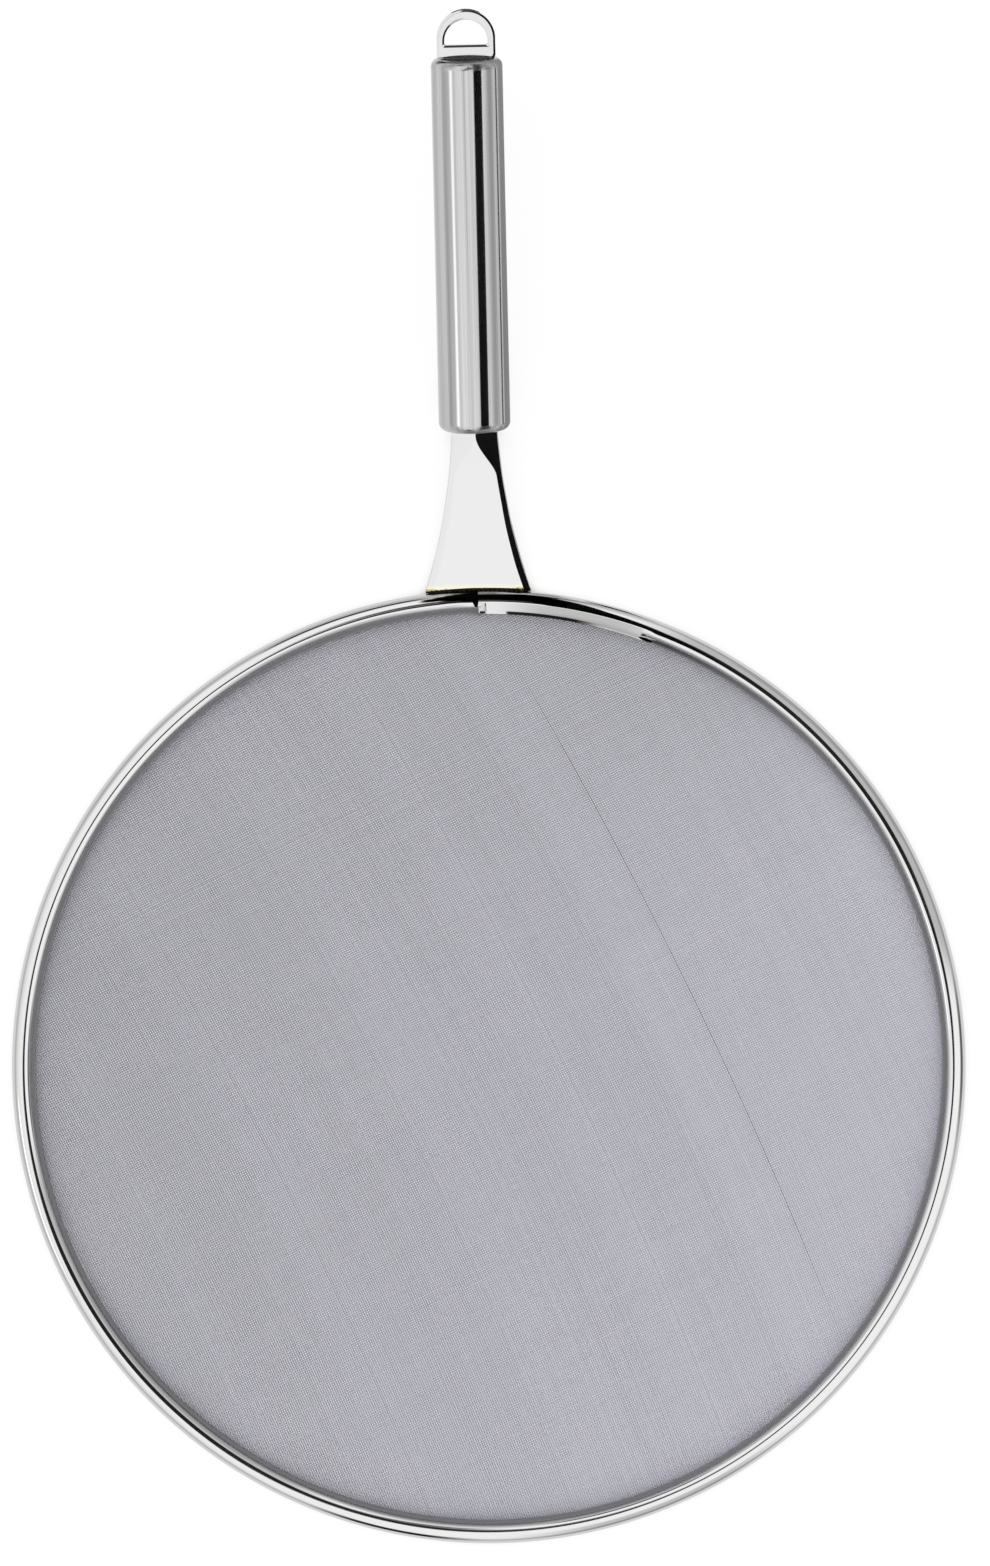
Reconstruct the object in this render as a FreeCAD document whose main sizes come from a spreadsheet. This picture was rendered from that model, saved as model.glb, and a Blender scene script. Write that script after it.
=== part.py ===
import FreeCAD, Part
import math
import os

import Sketcher
from FreeCAD import Placement, Rotation, Vector

# Splatter screen: a disc of wire gauze in a rolled rim, a welded neck, a tube handle and a hanging eye.
# The disc lies in XY with its centre at the origin, z = 0 is the underside of the rim, and the handle points to +Y.

# Driving dimensions, in millimetres and degrees, with one count
SIZES = {
    # Screen
    "screen_diameter": 280.0,  # over the outside of the rim
    "rim_width": 6.9,  # from the outside of the rim to the edge of its lips
    "band_wall": 0.6,  # thickness of the rolled strip
    "crest_flat": 0.6,  # flat land on the top and on the underside of the rim
    "gauze_thickness": 0.5,  # two wires of the weave, one over the other
    "gauze_openings": 12,  # count across the disc, in the plain grid that stands for the fine weave
    "gauze_bar": 8.6,  # left between two openings, which makes the sheet as open as the weave
    "warp_slant": 25.9,  # between the wires of the gauze and the handle
    "core_wire_diameter": 3.6,
    "core_clearance": 0.4,  # between the core wire and the strip rolled round it
    "lap_length": 9.0,  # of the squeezed end of the strip, beside the seam
    "lap_step": 0.3,  # how far that end lies below the other
    # Neck
    "neck_length": 47.5,  # from the rim to the handle, along the slope
    "neck_root_width": 31.0,
    "neck_root_height": 3.0,
    "neck_root_round": 1.3,
    "neck_waist_width": 20.6,
    "neck_waist_height": 4.2,
    "neck_waist_round": 1.7,
    "neck_waist_start": 28.0,  # from the handle to the middle of the flare
    "neck_flat_width": 15.4,
    "neck_flat_height": 7.0,
    "neck_flat_round": 2.4,
    "neck_flat_start": 11.0,  # from the handle to where the top is flat
    "neck_tip_width": 13.6,
    "neck_tip_height": 9.6,
    "neck_tip_round": 4.7,
    "tang_width": 9.0,
    "tang_height": 4.0,
    "tang_length": 16.0,
    "weld_width": 0.8,
    "weld_height": 3.8,
    # Handle
    "handle_slope": 10.0,
    "handle_length": 110.0,  # over both caps
    "tube_diameter": 21.0,
    "tube_wall": 0.8,
    "cap_shoulder": 2.6,  # radius of the rounded ends
    "cap_face": 2.0,  # thickness of the end face
    "cap_wall": 1.0,
    "spigot_length": 8.0,
    "fit_clearance": 0.1,
    "seam_bead": 1.2,  # size of the hidden beads behind the caps
    # Hanging eye
    "eye_width": 17.1,
    "eye_height": 14.2,
    "eye_thickness": 2.6,
    "eye_corner": 1.5,
    "eye_edge_round": 0.5,
    "eye_hole_width": 12.7,
    "eye_hole_base": 3.8,  # from the handle to the flat side of the hole
    "eye_hole_height": 7.5,
    "tongue_width": 10.0,
    "tongue_length": 8.0,
}

# The document and its sheet of sizes
doc = FreeCAD.newDocument("splatter_screen")
sheet = doc.addObject("Spreadsheet::Sheet", "Sizes")
for row, (name, size) in enumerate(SIZES.items(), start=1):
    sheet.set(f"A{row}", name)
    sheet.set(f"B{row}", str(size))
    sheet.setAlias(f"B{row}", name)
doc.recompute()

# Sizes that follow from the driving ones, as expressions on the sheet
RIM_RADIUS = "(Sizes.screen_diameter / 2)"
CORE_RADIUS = "(Sizes.core_wire_diameter / 2)"
BEAD_RADIUS = f"({CORE_RADIUS} + Sizes.core_clearance + Sizes.band_wall)"
BEAD_CENTRE = f"({RIM_RADIUS} - {BEAD_RADIUS})"
LIP_RISE = "(Sizes.gauze_thickness / 2 + Sizes.band_wall)"
FLANK_RADIUS = f"({BEAD_RADIUS} - {LIP_RISE})"
FLANK_CENTRE = f"({BEAD_CENTRE} - Sizes.crest_flat)"
FLANK_EDGE = f"({FLANK_CENTRE} - {FLANK_RADIUS})"
LIP_EDGE = f"({RIM_RADIUS} - Sizes.rim_width)"
GAUZE_RADIUS = f"({BEAD_CENTRE} - {CORE_RADIUS} - Sizes.core_clearance / 2)"
WELD_RADIUS = f"({RIM_RADIUS} + Sizes.weld_width)"
TUBE_RADIUS = "(Sizes.tube_diameter / 2)"
TUBE_BORE = f"({TUBE_RADIUS} - Sizes.tube_wall)"
HANDLE_START = "Sizes.neck_length"
HANDLE_END = "(Sizes.neck_length + Sizes.handle_length)"

ALONG_X = Vector(1, 0, 0)
ALONG_Z = Vector(0, 0, 1)


def worth(expression):
    """The number that an expression on the sheet comes to."""
    return float(sheet.evalExpression(expression))


def bind(thing, **expressions):
    """Ties properties of an object to expressions on the sheet. Two underscores stand for a dot."""
    for key, expression in expressions.items():
        thing.setExpression(key.replace("__", "."), expression)


def new_body(label):
    body = doc.addObject("PartDesign::Body", label)
    body.Label = label
    return body


def primitive(kind, label, **expressions):
    thing = doc.addObject(f"Part::{kind}", label)
    thing.Label = label
    bind(thing, **expressions)
    return thing


def put_on_handle(thing, along):
    """Places a piece in the handle's own frame: it starts at the rim's outer wall, and its Y runs up the slope."""
    thing.Placement = Placement(Vector(), Rotation(ALONG_X, worth("Sizes.handle_slope")))
    bind(
        thing,
        Placement__Base__y=f"{RIM_RADIUS} + {along} * cos(Sizes.handle_slope)",
        Placement__Base__z=f"{BEAD_RADIUS} + {along} * sin(Sizes.handle_slope)",
        Placement__Rotation__Angle="Sizes.handle_slope",
    )


def new_sketch(body, name, role, offset=None):
    """A sketch on one of the body's own planes, moved off it along its normal by an expression."""
    sketch = body.newObject("Sketcher::SketchObject", name)
    plane = next(item for item in body.Origin.OriginFeatures if item.Role == role)
    sketch.AttachmentSupport = [(plane, "")]
    sketch.MapMode = "FlatFace"
    if offset:
        bind(sketch, AttachmentOffset__Base__z=offset)
    return sketch


def hold(sketch, expression, kind, *where):
    """Adds a constraint that keeps a length of the sketch at an expression."""
    number = sketch.addConstraint(Sketcher.Constraint(kind, *where, worth(expression)))
    sketch.setExpression(f"Constraints[{number}]", expression)


def arc_between(start, end, radius, turn):
    """The arc from start to end, which turns left for +1 and right for -1."""
    half = (end - start) / 2
    reach = math.sqrt(max(radius**2 - half.Length**2, 0))
    across = Vector(-half.y, half.x, 0).normalize()
    centre = (start + end) / 2 + across * reach * turn
    first, last = (start, end) if turn > 0 else (end, start)
    from_angle = math.atan2(first.y - centre.y, first.x - centre.x)
    to_angle = math.atan2(last.y - centre.y, last.x - centre.x)
    return Part.ArcOfCircle(Part.Circle(centre, ALONG_Z, radius), from_angle, to_angle)


def outline(sketch, corners):
    """Draws a closed outline. A corner is (x, y), or (x, y, radius, turn) where an arc leads to it."""
    places = [Vector(worth(corner[0]), worth(corner[1]), 0) for corner in corners]
    ends = []
    for number, corner in enumerate(corners):
        start, end = places[number - 1], places[number]
        if len(corner) == 2:
            index = sketch.addGeometry(Part.LineSegment(start, end))
            ends.append((index, 1, 2))
        else:
            radius, turn = corner[2:]
            index = sketch.addGeometry(arc_between(start, end, worth(radius), turn))
            ends.append((index, 1, 2) if turn > 0 else (index, 2, 1))
            hold(sketch, radius, "Radius", index)
    for number, corner in enumerate(corners):
        index, _, tail = ends[number]
        following, head, _ = ends[(number + 1) % len(corners)]
        sketch.addConstraint(Sketcher.Constraint("Coincident", index, tail, following, head))
        hold(sketch, corner[0], "DistanceX", -1, 1, index, tail)
        hold(sketch, corner[1], "DistanceY", -1, 1, index, tail)


def rectangle(sketch, width, height):
    """A rectangle about the sketch's origin."""
    right, top = f"({width}) / 2", f"({height}) / 2"
    left, bottom = f"-{right}", f"-{top}"
    outline(sketch, [(left, bottom), (right, bottom), (right, top), (left, top)])


def rounded_rectangle(sketch, width, height, radius):
    """A rectangle about the sketch's origin, with its corners rounded."""
    right, top = f"{width} / 2", f"{height} / 2"
    left, bottom = f"-{right}", f"-{top}"
    outline(
        sketch,
        [
            (f"{right} - {radius}", bottom),
            (right, f"{bottom} + {radius}", radius, 1),
            (right, f"{top} - {radius}"),
            (f"{right} - {radius}", top, radius, 1),
            (f"{left} + {radius}", top),
            (left, f"{top} - {radius}", radius, 1),
            (left, f"{bottom} + {radius}"),
            (f"{left} + {radius}", bottom, radius, 1),
        ],
    )


def revolve(body, name, sketch, angle, midplane=False):
    """Turns a sketch about its own vertical axis."""
    feature = body.newObject("PartDesign::Revolution", name)
    feature.Profile = sketch
    feature.ReferenceAxis = (sketch, ["V_Axis"])
    feature.Midplane = midplane
    bind(feature, Angle=angle)


def remove(body, kind, name, sketch):
    """Adds a feature that cuts the sketch out of the body, and returns it for its size to be set."""
    feature = body.newObject(f"PartDesign::{kind}", name)
    feature.Profile = sketch
    return feature


def must_be_smaller(body, volume):
    """Stops the script if a cut has missed the solid."""
    doc.recompute()
    assert body.Shape.Volume < volume, f"a cut in {body.Label} removes nothing"


# Gauze: a thin disc with a grid of openings, pinched at its edge between the lips of the rim
def make_gauze_disc():
    body = new_body("gauze_disc")
    circle = new_sketch(body, "gauze_outline", "XY_Plane")
    edge = circle.addGeometry(Part.Circle(Vector(), ALONG_Z, worth(GAUZE_RADIUS)))
    circle.addConstraint(Sketcher.Constraint("Coincident", edge, 3, -1, 1))
    hold(circle, GAUZE_RADIUS, "Radius", edge)
    sheet_of_wire = body.newObject("PartDesign::Pad", "gauze_sheet")
    sheet_of_wire.Profile = circle
    bind(sheet_of_wire, Length="Sizes.gauze_thickness")
    doc.recompute()
    whole = body.Shape.Volume

    # The first opening is in a corner of the grid, and the others follow along both directions of the weave
    count = "round(Sizes.gauze_openings)"
    pitch = f"(2 * {GAUZE_RADIUS} / {count})"
    span = f"(({count} - 1) * {pitch})"
    low, high = (f"-{span} / 2 {sign} ({pitch} - Sizes.gauze_bar) / 2" for sign in "-+")
    square = new_sketch(body, "opening_outline", "XY_Plane")
    outline(square, [(low, low), (high, low), (high, high), (low, high)])
    opening = remove(body, "Pocket", "first_opening", square)
    opening.Midplane = True
    bind(opening, Length="2 * Sizes.gauze_thickness")
    openings = body.newObject("PartDesign::LinearPattern", "openings")
    openings.Originals = [opening]
    openings.Direction, openings.Direction2 = (square, ["H_Axis"]), (square, ["V_Axis"])
    bind(openings, Occurrences=count, Length=span, Occurrences2=count, Length2=span)
    body.Tip = openings
    must_be_smaller(body, whole)
    body.Placement = Placement(Vector(), Rotation(ALONG_Z, worth("Sizes.warp_slant")))
    bind(
        body,
        Placement__Base__z=f"{BEAD_RADIUS} - Sizes.gauze_thickness / 2",
        Placement__Rotation__Angle="Sizes.warp_slant",
    )
    return body


# Core wire: a hoop of round wire inside the rolled rim
def make_core_wire():
    return primitive(
        "Torus",
        "rim_core_wire",
        Radius1=BEAD_CENTRE,
        Radius2=CORE_RADIUS,
        Placement__Base__z=BEAD_RADIUS,
    )


# Rim: a strip rolled into a bead, with two lips that pinch the gauze
def make_rim_band():
    body = new_body("rim_band")
    wall = "Sizes.band_wall"
    middle = BEAD_RADIUS
    top = f"2 * {BEAD_RADIUS}"
    lip_top, lip_bottom = f"{middle} + {LIP_RISE}", f"{middle} - {LIP_RISE}"
    slot_top, slot_bottom = f"{middle} + Sizes.gauze_thickness / 2", f"{middle} - Sizes.gauze_thickness / 2"
    bead_inside = f"{BEAD_RADIUS} - {wall}"
    flank_inside = f"{FLANK_RADIUS} - {wall}"
    channel_edge = f"{FLANK_EDGE} + {wall}"
    section = new_sketch(body, "band_section", "YZ_Plane")
    outline(
        section,
        [
            (BEAD_CENTRE, "0"),
            (RIM_RADIUS, middle, BEAD_RADIUS, 1),
            (BEAD_CENTRE, top, BEAD_RADIUS, 1),
            (FLANK_CENTRE, top),
            (FLANK_EDGE, lip_top, FLANK_RADIUS, 1),
            (LIP_EDGE, lip_top),
            (LIP_EDGE, slot_top),
            (channel_edge, slot_top),
            (channel_edge, lip_top),
            (FLANK_CENTRE, f"{top} - {wall}", flank_inside, -1),
            (BEAD_CENTRE, f"{top} - {wall}"),
            (f"{RIM_RADIUS} - {wall}", middle, bead_inside, -1),
            (BEAD_CENTRE, wall, bead_inside, -1),
            (FLANK_CENTRE, wall),
            (channel_edge, lip_bottom, flank_inside, -1),
            (channel_edge, slot_bottom),
            (LIP_EDGE, slot_bottom),
            (LIP_EDGE, lip_bottom),
            (FLANK_EDGE, lip_bottom),
            (FLANK_CENTRE, "0", FLANK_RADIUS, 1),
        ],
    )
    revolve(body, "band_ring", section, "360")
    doc.recompute()
    whole = body.Shape.Volume

    # One end of the strip is squeezed and lies a step lower, up to the seam in front of the neck
    step = "Sizes.lap_step"
    squeezed = f"({BEAD_RADIUS} - {step})"
    weld_top = f"{middle} + Sizes.weld_height / 2"
    at_weld = f"{BEAD_CENTRE} + sqrt({squeezed}^2 - (Sizes.weld_height / 2)^2)"
    above = f"{top} + {wall}"
    within = f"{LIP_EDGE} - {wall}"
    lap = new_sketch(body, "lap_section", "YZ_Plane")
    outline(
        lap,
        [
            (within, above),
            (within, f"{lip_top} - {step}"),
            (f"{FLANK_EDGE} + {step}", f"{lip_top} - {step}"),
            (f"{FLANK_EDGE} + {step}", lip_top),
            (FLANK_CENTRE, f"{top} - {step}", f"{FLANK_RADIUS} - {step}", -1),
            (BEAD_CENTRE, f"{top} - {step}"),
            (at_weld, weld_top, squeezed, -1),
            (WELD_RADIUS, weld_top),
            (WELD_RADIUS, above),
        ],
    )
    squeeze = remove(body, "Groove", "lap_squeeze", lap)
    squeeze.ReferenceAxis = (lap, ["V_Axis"])
    bind(squeeze, Angle=f"Sizes.lap_length / {RIM_RADIUS} * 180 / pi")
    must_be_smaller(body, whole)
    return body


# Weld bead between the rim's outer wall and the neck
def make_neck_weld():
    body = new_body("neck_weld")
    low = f"{BEAD_RADIUS} - Sizes.weld_height / 2"
    high = f"{BEAD_RADIUS} + Sizes.weld_height / 2"
    at_rim = f"{BEAD_CENTRE} + sqrt({BEAD_RADIUS}^2 - (Sizes.weld_height / 2)^2)"
    section = new_sketch(body, "weld_section", "YZ_Plane")
    outline(
        section,
        [(WELD_RADIUS, low), (WELD_RADIUS, high), (at_rim, high), (at_rim, low, BEAD_RADIUS, -1)],
    )
    revolve(body, "weld_bead", section, f"Sizes.neck_root_width / {WELD_RADIUS} * 180 / pi", midplane=True)
    return body


# Neck: near round at the handle, flat on top soon after, and a thin wide plate at the rim
def make_neck():
    body = new_body("neck_forging")
    from_handle = {
        "tip": "0",
        "flat": "Sizes.neck_flat_start",
        "waist": "Sizes.neck_waist_start",
        "root": "(Sizes.neck_length + Sizes.weld_width)",
    }
    sections = []
    for name, distance in from_handle.items():
        sketch = new_sketch(body, f"neck_{name}", "XZ_Plane", f"{distance} - {HANDLE_START}")
        size = f"Sizes.neck_{name}"
        rounded_rectangle(sketch, f"{size}_width", f"{size}_height", f"{size}_round")
        sections.append(sketch)
    doc.recompute()
    flare = body.newObject("PartDesign::AdditiveLoft", "neck_flare")
    flare.Profile = sections[0]
    flare.Sections = [(sketch, [""]) for sketch in sections[1:]]
    tang_section = new_sketch(body, "tang_section", "XZ_Plane", f"-{HANDLE_START}")
    rectangle(tang_section, "Sizes.tang_width", "Sizes.tang_height")
    tang = body.newObject("PartDesign::Pad", "tang")
    tang.Profile = tang_section
    tang.Reversed = True
    bind(tang, Length="Sizes.tang_length")
    put_on_handle(body, "0")

    # The end of the neck follows the outside of the weld
    room = primitive(
        "Cylinder",
        "room_for_weld",
        Radius=WELD_RADIUS,
        Height="4 * Sizes.weld_height",
        Placement__Base__z=f"{BEAD_RADIUS} - 2 * Sizes.weld_height",
    )
    neck = doc.addObject("Part::Cut", "neck")
    neck.Label = "neck"
    neck.Base = body
    neck.Tool = room
    return neck


# Handle tube between the two caps
def make_handle_tube():
    body = new_body("handle_tube")
    front = "Sizes.cap_shoulder"
    rear = "Sizes.handle_length - Sizes.cap_shoulder"
    section = new_sketch(body, "tube_section", "XY_Plane")
    outline(section, [(TUBE_BORE, front), (TUBE_RADIUS, front), (TUBE_RADIUS, rear), (TUBE_BORE, rear)])
    revolve(body, "tube_wall", section, "360")
    put_on_handle(body, HANDLE_START)
    return body


# End cap: a round-shouldered face with a spigot that fits the tube, and a slot for what goes through it
def make_cap(label, along, way, slot_width, slot_height):
    body = new_body(label)
    sign = "" if way > 0 else "-"
    shoulder, face = f"{sign}Sizes.cap_shoulder", f"{sign}Sizes.cap_face"
    spigot = f"({TUBE_BORE} - Sizes.fit_clearance)"
    spigot_inside = f"({spigot} - Sizes.cap_wall)"
    spigot_end = f"{sign}(Sizes.cap_shoulder + Sizes.spigot_length)"
    section = new_sketch(body, f"{label}_section", "XY_Plane")
    outline(
        section,
        [
            ("0", "0"),
            (f"{TUBE_RADIUS} - Sizes.cap_shoulder", "0"),
            (TUBE_RADIUS, shoulder, "Sizes.cap_shoulder", way),
            (spigot, shoulder),
            (spigot, spigot_end),
            (spigot_inside, spigot_end),
            (spigot_inside, face),
            ("0", face),
        ],
    )
    revolve(body, f"{label}_cup", section, "360")
    doc.recompute()
    whole = body.Shape.Volume
    slot = new_sketch(body, f"{label}_slot_outline", "XZ_Plane")
    rectangle(slot, f"{slot_width} + 2 * Sizes.fit_clearance", f"{slot_height} + 2 * Sizes.fit_clearance")
    cut = remove(body, "Pocket", f"{label}_slot", slot)
    cut.Midplane = True
    bind(cut, Length="2 * (Sizes.cap_face + Sizes.fit_clearance)")
    must_be_smaller(body, whole)
    put_on_handle(body, along)
    return body


# Hidden bead round a tang or tongue, on the inner face of its cap
def make_seam_weld(label, along, way, width, height):
    body = new_body(label)
    inner_face = "-Sizes.cap_face" if way > 0 else "Sizes.cap_face"
    section = new_sketch(body, f"{label}_section", "XZ_Plane", inner_face)
    rectangle(section, f"{width} + 2 * Sizes.seam_bead", f"{height} + 2 * Sizes.seam_bead")
    rectangle(section, width, height)
    bead = body.newObject("PartDesign::Pad", f"{label}_bead")
    bead.Profile = section
    bead.Reversed = way > 0
    bind(bead, Length="Sizes.seam_bead")
    put_on_handle(body, along)
    return body


def edges_of_eye(shape):
    """Names of the edges round the two flat sides of the eye and of its hole, without those of the tongue."""
    half = worth("Sizes.eye_thickness") / 2
    close = 1e-6
    names = []
    for number, edge in enumerate(shape.Edges, start=1):
        box = edge.BoundBox
        on_a_side = box.ZLength < close and abs(abs(box.ZMin) - half) < close
        if on_a_side and box.YMax > close:
            names.append(f"Edge{number}")
    return names


# Hanging eye: a flat D-shaped plate with a tongue that goes through the rear cap
def make_hanging_eye():
    body = new_body("hanging_eye")
    right = "Sizes.eye_width / 2"
    arch = f"Sizes.eye_height - {right}"
    corner = "Sizes.eye_corner"
    tongue = "Sizes.tongue_width / 2"
    tongue_end = "-(Sizes.cap_face + Sizes.tongue_length)"
    hole_side = "Sizes.eye_hole_width / 2"
    hole_base = "Sizes.eye_hole_base"
    hole_top = f"{hole_base} + Sizes.eye_hole_height"
    hole_arch = f"{hole_top} - {hole_side}"
    plan = new_sketch(body, "eye_plan", "XY_Plane")
    outline(
        plan,
        [
            (tongue, "0"),
            (f"{right} - {corner}", "0"),
            (right, corner, corner, 1),
            (right, arch),
            ("0", "Sizes.eye_height", right, 1),
            (f"-{right}", arch, right, 1),
            (f"-{right}", corner),
            (f"-{right} + {corner}", "0", corner, 1),
            (f"-{tongue}", "0"),
            (f"-{tongue}", tongue_end),
            (tongue, tongue_end),
        ],
    )
    outline(
        plan,
        [
            (hole_side, hole_base),
            (hole_side, hole_arch),
            ("0", hole_top, hole_side, 1),
            (f"-{hole_side}", hole_arch, hole_side, 1),
            (f"-{hole_side}", hole_base),
        ],
    )
    plate = body.newObject("PartDesign::Pad", "eye_plate")
    plate.Profile = plan
    plate.Midplane = True
    bind(plate, Length="Sizes.eye_thickness")
    doc.recompute()
    soften = body.newObject("PartDesign::Fillet", "eye_edges")
    soften.Base = (plate, edges_of_eye(plate.Shape))
    bind(soften, Radius="Sizes.eye_edge_round")
    put_on_handle(body, HANDLE_END)
    return body


tang = ("Sizes.tang_width", "Sizes.tang_height")
tongue = ("Sizes.tongue_width", "Sizes.eye_thickness")
parts = [
    make_gauze_disc(),
    make_core_wire(),
    make_rim_band(),
    make_neck_weld(),
    make_neck(),
    make_handle_tube(),
    make_cap("handle_front_cap", HANDLE_START, 1, *tang),
    make_cap("handle_rear_cap", HANDLE_END, -1, *tongue),
    make_seam_weld("tang_weld", HANDLE_START, 1, *tang),
    make_seam_weld("eye_weld", HANDLE_END, -1, *tongue),
    make_hanging_eye(),
]
doc.recompute()

# Every object must have rebuilt cleanly before anything is written
for item in doc.Objects:
    assert "Invalid" not in item.State and "Error" not in item.State, f"{item.Name}: {item.State}"
for part in parts:
    assert not part.Shape.isNull() and part.Shape.isValid(), f"{part.Label} has no valid shape"
    assert len(part.Shape.Solids) == 1, f"{part.Label} has {len(part.Shape.Solids)} solids"

os.makedirs("parts", exist_ok=True)
for part in parts:
    part.Shape.exportStep(os.path.join("parts", f"{part.Label}.step"))
    box = part.Shape.optimalBoundingBox()
    print(
        f"{part.Label}: {part.Shape.Volume / 1000:.2f} cm3, x {box.XMin:.1f} to {box.XMax:.1f},"
        f" y {box.YMin:.1f} to {box.YMax:.1f}, z {box.ZMin:.2f} to {box.ZMax:.2f}"
    )
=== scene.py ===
# %% [markdown]
# # A splatter screen
#
# The object is a round screen that lies over a frying pan: fine wire gauze in a rolled steel rim, a
# flared neck welded to the rim, a tube handle and a flat hanging eye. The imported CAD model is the
# frame: it says where everything is. Each piece is then built again here as a finer mesh, in the same
# place, and given its finish.

# %% Load the frame
import math

import bpy
import numpy as np
from mathutils import Matrix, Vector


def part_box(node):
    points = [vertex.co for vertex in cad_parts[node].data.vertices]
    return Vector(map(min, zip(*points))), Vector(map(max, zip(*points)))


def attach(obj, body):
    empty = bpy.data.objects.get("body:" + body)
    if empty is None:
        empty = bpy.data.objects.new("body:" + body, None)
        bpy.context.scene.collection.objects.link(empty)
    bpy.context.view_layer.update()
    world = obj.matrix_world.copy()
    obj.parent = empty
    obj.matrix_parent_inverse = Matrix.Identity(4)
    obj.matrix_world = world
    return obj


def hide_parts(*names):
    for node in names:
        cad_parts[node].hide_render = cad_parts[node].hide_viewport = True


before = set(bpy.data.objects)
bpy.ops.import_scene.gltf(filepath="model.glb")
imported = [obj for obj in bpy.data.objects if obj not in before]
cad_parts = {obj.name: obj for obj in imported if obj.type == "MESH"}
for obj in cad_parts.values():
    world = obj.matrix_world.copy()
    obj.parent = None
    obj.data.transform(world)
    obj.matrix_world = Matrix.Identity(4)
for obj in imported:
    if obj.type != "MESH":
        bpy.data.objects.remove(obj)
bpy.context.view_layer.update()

print("CAD nodes:", sorted(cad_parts))

# %% [markdown]
# ## Sizes
#
# The sizes below are in millimetres and degrees. What the frame can tell is read from the boxes of
# its nodes, and only the shapes that a box can't give, such as the slope of the handle, are written
# down as named values. Blender works in metres, so one number turns millimetres into metres when a
# mesh is made.

# %% Read the main sizes from the frame
MM = 0.001
RIM_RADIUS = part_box("rim_band")[1].x / MM
RIM_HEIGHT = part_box("rim_band")[1].z / MM
RIM_MIDDLE = RIM_HEIGHT / 2
TUBE_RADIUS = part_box("handle_tube")[1].x / MM
EYE_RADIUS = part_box("hanging_eye")[1].x / MM

HANDLE_SLOPE = math.radians(10)
NECK_LENGTH = 47.5
HANDLE_LENGTH = 110.0
HANDLE_END = NECK_LENGTH + HANDLE_LENGTH
SHOULDER = 2.6

# The handle's frame starts on the rim's outer wall: x across, y up the slope, z out of its top.
handle_foot = Matrix.Translation((0, RIM_RADIUS * MM, RIM_MIDDLE * MM))
HANDLE_FRAME = handle_foot @ Matrix.Rotation(HANDLE_SLOPE, 4, "X")
print(f"rim {2 * RIM_RADIUS:.1f} mm across and {RIM_HEIGHT:.1f} mm high")
print(f"tube {2 * TUBE_RADIUS:.1f} mm thick")

# %% [markdown]
# ## One way to make every mesh
#
# Nearly every piece here is a skin over rows of points: a section that is carried round the rim,
# along the neck or round the handle's axis. A curve with a bevel could do the plain ones, but it
# can't change its section on the way, as the lapped ends of the rim and the neck do. So one function
# takes a grid of points and joins them with quads. Shading is smooth, except across edges that turn
# by more than a set angle.

# %% The quads of a grid


def grid_faces(rows, columns, wrap_rows, wrap_columns):
    """The corners of the quads between neighbouring points of a grid."""
    row = np.arange(rows if wrap_rows else rows - 1)[:, None]
    column = np.arange(columns if wrap_columns else columns - 1)[None, :]
    next_row = (row + 1) % rows
    next_column = (column + 1) % columns
    corners = [
        row * columns + column,
        row * columns + next_column,
        next_row * columns + next_column,
        next_row * columns + column,
    ]
    return np.stack(np.broadcast_arrays(*corners), axis=-1).reshape(-1, 4)


print("one quad joins these points of a 2 x 2 grid:", grid_faces(2, 2, False, False).tolist())

# %% A skin over a grid of points
SHARP_TURN = math.radians(35)


def into_scene(name, data, matrix=None):
    """Puts a mesh or a camera into the scene as an object."""
    thing = bpy.data.objects.new(name, data)
    bpy.context.scene.collection.objects.link(thing)
    if matrix is not None:
        thing.matrix_world = matrix
    return thing


def place(name, mesh, body="root", matrix=None):
    """Puts a mesh into the scene as a piece that rides on a CAD body."""
    piece = into_scene(name, mesh, matrix)
    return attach(piece, body)


def mesh_of(name, points, faces, lids=()):
    """A smooth mesh from points in millimetres, quads, and lids that each close a ring of points."""
    mesh = bpy.data.meshes.new(name)
    metres = np.asarray(points).reshape(-1, 3) * MM
    mesh.from_pydata(metres.tolist(), [], [*faces.tolist(), *lids])
    mesh.shade_smooth()
    mesh.set_sharp_from_angle(angle=SHARP_TURN)
    mesh.validate()
    return mesh


def skin(name, points, wrap_rows=False, lids=False, matrix=None):
    """A piece from rows of closed sections, as a ring or with a lid on each end."""
    rows, columns = points.shape[:2]
    numbers = list(range(rows * columns))
    ends = [numbers[:columns][::-1], numbers[-columns:]] if lids else []
    faces = grid_faces(rows, columns, wrap_rows, True)
    piece = place(name, mesh_of(name, points, faces, ends), matrix=matrix)
    print(f"{name}: {rows} rows of {columns} points")
    return piece


print(f"edges stay sharp where they turn by {math.degrees(SHARP_TURN):.0f} degrees")

# %% [markdown]
# ## Nodes for the materials
#
# Colours are written as sRGB hex values, as a colour picker shows them, and the shader wants linear
# light, so one function converts them. Two more small ones add a node, set it up and link it, so that
# a material reads as a list of its steps.

# %% Colour and node helpers


def linear(hex_colour):
    """An sRGB colour such as C8C8C8 as linear RGBA."""
    shares = [int(hex_colour[i:i + 2], 16) / 255 for i in (0, 2, 4)]
    return [s / 12.92 if s <= 0.04045 else ((s + 0.055) / 1.055) ** 2.4 for s in shares] + [1.0]


def feed(tree, node, inputs):
    """Sets a node's inputs. Each is a value, a socket, or a node, which gives its first output."""
    for name, value in inputs.items():
        if isinstance(value, bpy.types.Node):
            value = value.outputs[0]
        if isinstance(value, bpy.types.NodeSocket):
            tree.links.new(value, node.inputs[name])
        else:
            node.inputs[name].default_value = value


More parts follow.
